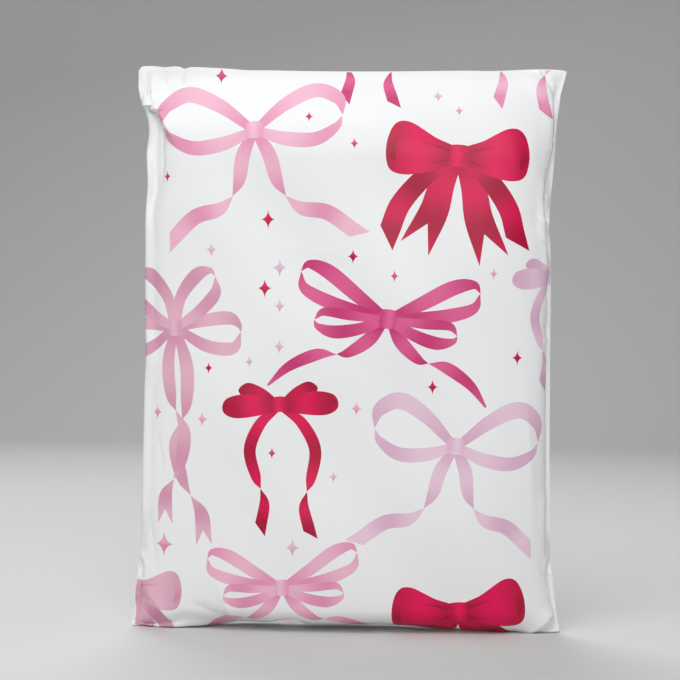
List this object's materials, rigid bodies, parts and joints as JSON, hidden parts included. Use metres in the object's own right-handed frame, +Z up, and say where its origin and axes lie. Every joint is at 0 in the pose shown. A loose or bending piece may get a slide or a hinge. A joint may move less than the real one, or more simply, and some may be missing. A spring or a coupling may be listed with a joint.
{
  "type": "poly mailer bag",
  "caption": "Sealed and filled poly mailer bag of white film printed with ribbon bows and sparkles, with welded sides and a stuck-down flap, standing on its base.",
  "frame": {"origin": "middle of the base, on the surface the bag stands on", "axes": "+X across the bag to its right seen from the front, +Y from the printed front to the back with the flap, +Z up from the base to the top fold"},
  "size_m": [0.253, 0.041, 0.33],
  "materials": {
    "printed_film": "satin-gloss white polyethylene film, printed with ribbon bows and sparkles in crimson and pinks"
  },
  "bodies": {
    "root": {"mailer_bag": "printed_film"}
  },
  "joints": []
}
